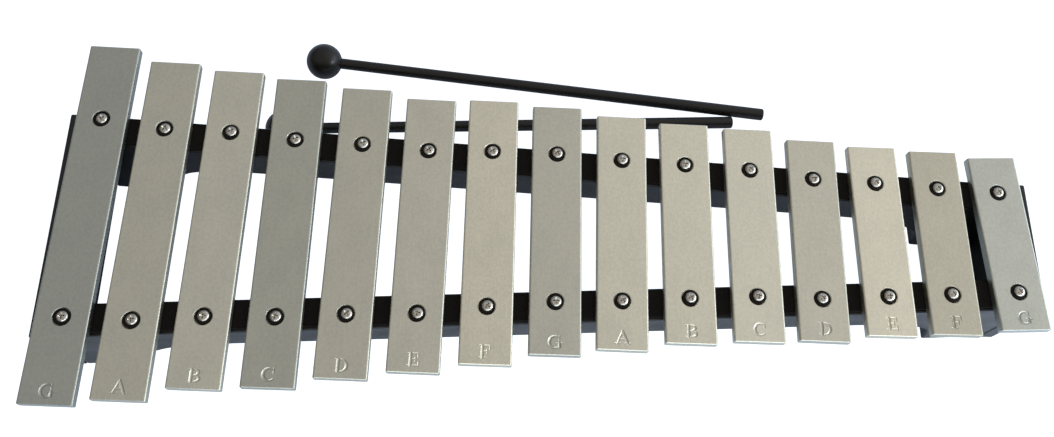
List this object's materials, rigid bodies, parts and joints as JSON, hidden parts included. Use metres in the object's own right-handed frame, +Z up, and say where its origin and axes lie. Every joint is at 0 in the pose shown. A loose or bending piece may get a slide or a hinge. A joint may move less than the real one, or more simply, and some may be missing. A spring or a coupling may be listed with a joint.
{
  "type": "xylophone",
  "caption": "Table-top xylophone with tuned flat metal bars screwed over felt on a tapered black wooden frame with arched rails, and two ball-headed mallets lying behind it.",
  "frame": {"origin": "bottom centre of the bounding box of the whole part, mallets included, on the surface it stands on", "axes": "+X along the row from the low bars to the high bars, +Y away from the player, +Z up"},
  "size_m": [0.488, 0.2178, 0.0641],
  "materials": {
    "bar_aluminium": "satin, lightly brushed along the bar",
    "screw_steel": "bright zinc plate, worn in the recess",
    "frame_paint": "satin black paint over wood",
    "felt": "matt black wool felt",
    "grommet_rubber": "matt black rubber",
    "mallet_head": "satin black",
    "mallet_shaft": "satin black"
  },
  "bodies": {
    "frame": {"rear_rail": "frame_paint", "front_rail": "frame_paint", "left_end_board": "frame_paint", "right_end_board": "frame_paint", "rear_felt_strip": "felt", "front_felt_strip": "felt", "corner_screw_left_rear": "screw_steel", "corner_screw_left_front": "screw_steel", "corner_screw_right_rear": "screw_steel", "corner_screw_right_front": "screw_steel", "screw_rear_01": "screw_steel", "screw_rear_02": "screw_steel", "screw_rear_03": "screw_steel", "screw_rear_04": "screw_steel", "screw_rear_05": "screw_steel", "screw_rear_06": "screw_steel", "screw_rear_07": "screw_steel", "screw_rear_08": "screw_steel", "screw_rear_09": "screw_steel", "screw_rear_10": "screw_steel", "screw_rear_11": "screw_steel", "screw_rear_12": "screw_steel", "screw_rear_13": "screw_steel", "screw_rear_14": "screw_steel", "screw_rear_15": "screw_steel", "screw_front_01": "screw_steel", "screw_front_02": "screw_steel", "screw_front_03": "screw_steel", "screw_front_04": "screw_steel", "screw_front_05": "screw_steel", "screw_front_06": "screw_steel", "screw_front_07": "screw_steel", "screw_front_08": "screw_steel", "screw_front_09": "screw_steel", "screw_front_10": "screw_steel", "screw_front_11": "screw_steel", "screw_front_12": "screw_steel", "screw_front_13": "screw_steel", "screw_front_14": "screw_steel", "screw_front_15": "screw_steel"},
    "bar_01": {"bar_01_g5": "bar_aluminium"},
    "bar_02": {"bar_02_a5": "bar_aluminium"},
    "bar_03": {"bar_03_b5": "bar_aluminium"},
    "bar_04": {"bar_04_c6": "bar_aluminium"},
    "bar_05": {"bar_05_d6": "bar_aluminium"},
    "bar_06": {"bar_06_e6": "bar_aluminium"},
    "bar_07": {"bar_07_f6": "bar_aluminium"},
    "bar_08": {"bar_08_g6": "bar_aluminium"},
    "bar_09": {"bar_09_a6": "bar_aluminium"},
    "bar_10": {"bar_10_b6": "bar_aluminium"},
    "bar_11": {"bar_11_c7": "bar_aluminium"},
    "bar_12": {"bar_12_d7": "bar_aluminium"},
    "bar_13": {"bar_13_e7": "bar_aluminium"},
    "bar_14": {"bar_14_f7": "bar_aluminium"},
    "bar_15": {"bar_15_g7": "bar_aluminium"},
    "mallet_1": {"mallet_1_head": "mallet_head", "mallet_1_shaft": "mallet_shaft"},
    "mallet_2": {"mallet_2_head": "mallet_head", "mallet_2_shaft": "mallet_shaft"}
  },
  "joints": [
    {"name": "bar_01_float", "type": "slide", "parent": "frame", "child": "bar_01", "axis": [0, 0, 1], "range_m": [0, 0.0007]},
    {"name": "bar_02_float", "type": "slide", "parent": "frame", "child": "bar_02", "axis": [0, 0, 1], "range_m": [0, 0.0007]},
    {"name": "bar_03_float", "type": "slide", "parent": "frame", "child": "bar_03", "axis": [0, 0, 1], "range_m": [0, 0.0007]},
    {"name": "bar_04_float", "type": "slide", "parent": "frame", "child": "bar_04", "axis": [0, 0, 1], "range_m": [0, 0.0007]},
    {"name": "bar_05_float", "type": "slide", "parent": "frame", "child": "bar_05", "axis": [0, 0, 1], "range_m": [0, 0.0007]},
    {"name": "bar_06_float", "type": "slide", "parent": "frame", "child": "bar_06", "axis": [0, 0, 1], "range_m": [0, 0.0007]},
    {"name": "bar_07_float", "type": "slide", "parent": "frame", "child": "bar_07", "axis": [0, 0, 1], "range_m": [0, 0.0007]},
    {"name": "bar_08_float", "type": "slide", "parent": "frame", "child": "bar_08", "axis": [0, 0, 1], "range_m": [0, 0.0007]},
    {"name": "bar_09_float", "type": "slide", "parent": "frame", "child": "bar_09", "axis": [0, 0, 1], "range_m": [0, 0.0007]},
    {"name": "bar_10_float", "type": "slide", "parent": "frame", "child": "bar_10", "axis": [0, 0, 1], "range_m": [0, 0.0007]},
    {"name": "bar_11_float", "type": "slide", "parent": "frame", "child": "bar_11", "axis": [0, 0, 1], "range_m": [0, 0.0007]},
    {"name": "bar_12_float", "type": "slide", "parent": "frame", "child": "bar_12", "axis": [0, 0, 1], "range_m": [0, 0.0007]},
    {"name": "bar_13_float", "type": "slide", "parent": "frame", "child": "bar_13", "axis": [0, 0, 1], "range_m": [0, 0.0007]},
    {"name": "bar_14_float", "type": "slide", "parent": "frame", "child": "bar_14", "axis": [0, 0, 1], "range_m": [0, 0.0007]},
    {"name": "bar_15_float", "type": "slide", "parent": "frame", "child": "bar_15", "axis": [0, 0, 1], "range_m": [0, 0.0007]},
    {"name": "mallet_1_lift", "type": "slide", "parent": "frame", "child": "mallet_1", "axis": [0, 0, 1], "range_m": [0, 0.15]},
    {"name": "mallet_2_slide_out", "type": "slide", "parent": "frame", "child": "mallet_2", "axis": [-1, 0, 0], "range_m": [0, 0.36]}
  ]
}
